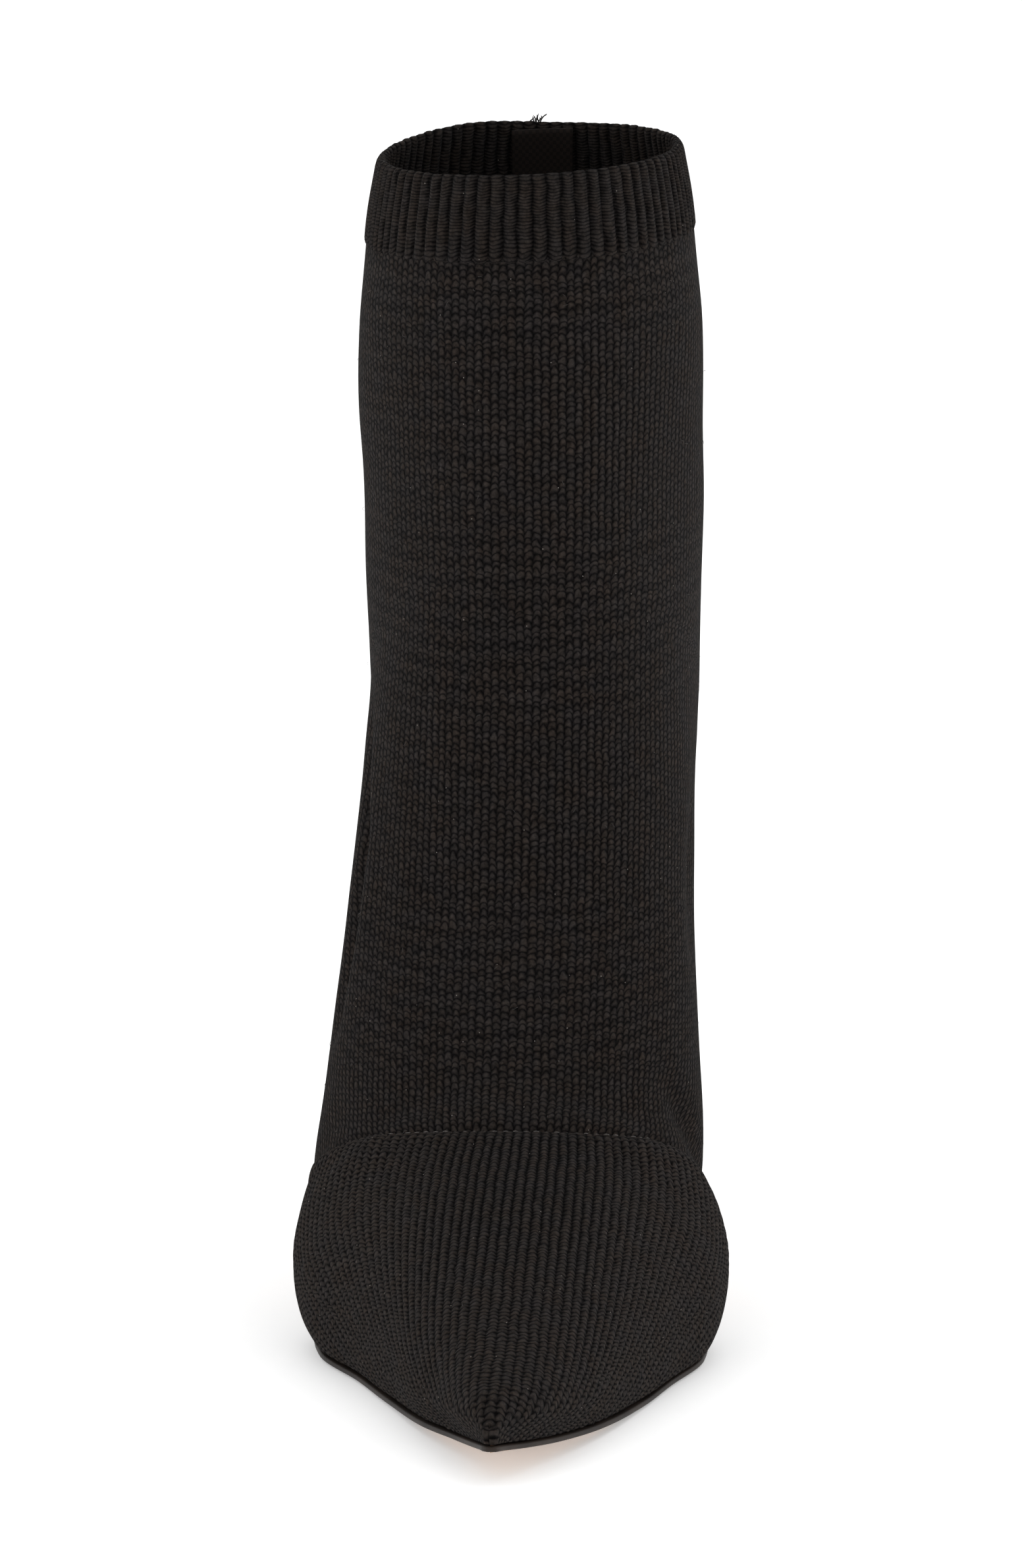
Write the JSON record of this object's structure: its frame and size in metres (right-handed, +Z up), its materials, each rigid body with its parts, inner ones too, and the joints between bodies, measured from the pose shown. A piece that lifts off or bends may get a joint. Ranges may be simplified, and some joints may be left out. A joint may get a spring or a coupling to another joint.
{
  "type": "sweater boot",
  "caption": "Left pull-on knitted sweater boot with a ribbed cuff, a pointed toe, a thin leather sole and a slim covered heel, for wearing on the foot.",
  "frame": {"origin": "on the floor under the centre of the boot's box", "axes": "+Z up, -Y towards the toe, +Y towards the heel, +X towards the outer side of the left foot"},
  "size_m": [0.088, 0.2436, 0.2351],
  "materials": {
    "knit": "matte ribbed knit",
    "tape": "plain woven tape",
    "sock_lining": "matte lining leather",
    "rand": "black edge dye, glossy",
    "sole_leather": "smooth tan sole leather",
    "heel_cover": "smooth black cover, satin",
    "lift_rubber": "matte rubber"
  },
  "bodies": {
    "root": {"upper": "knit", "back_tape": "tape", "insole": "sock_lining", "rand": "rand", "outsole": "sole_leather", "heel": "heel_cover", "top_lift": "lift_rubber"}
  },
  "joints": []
}
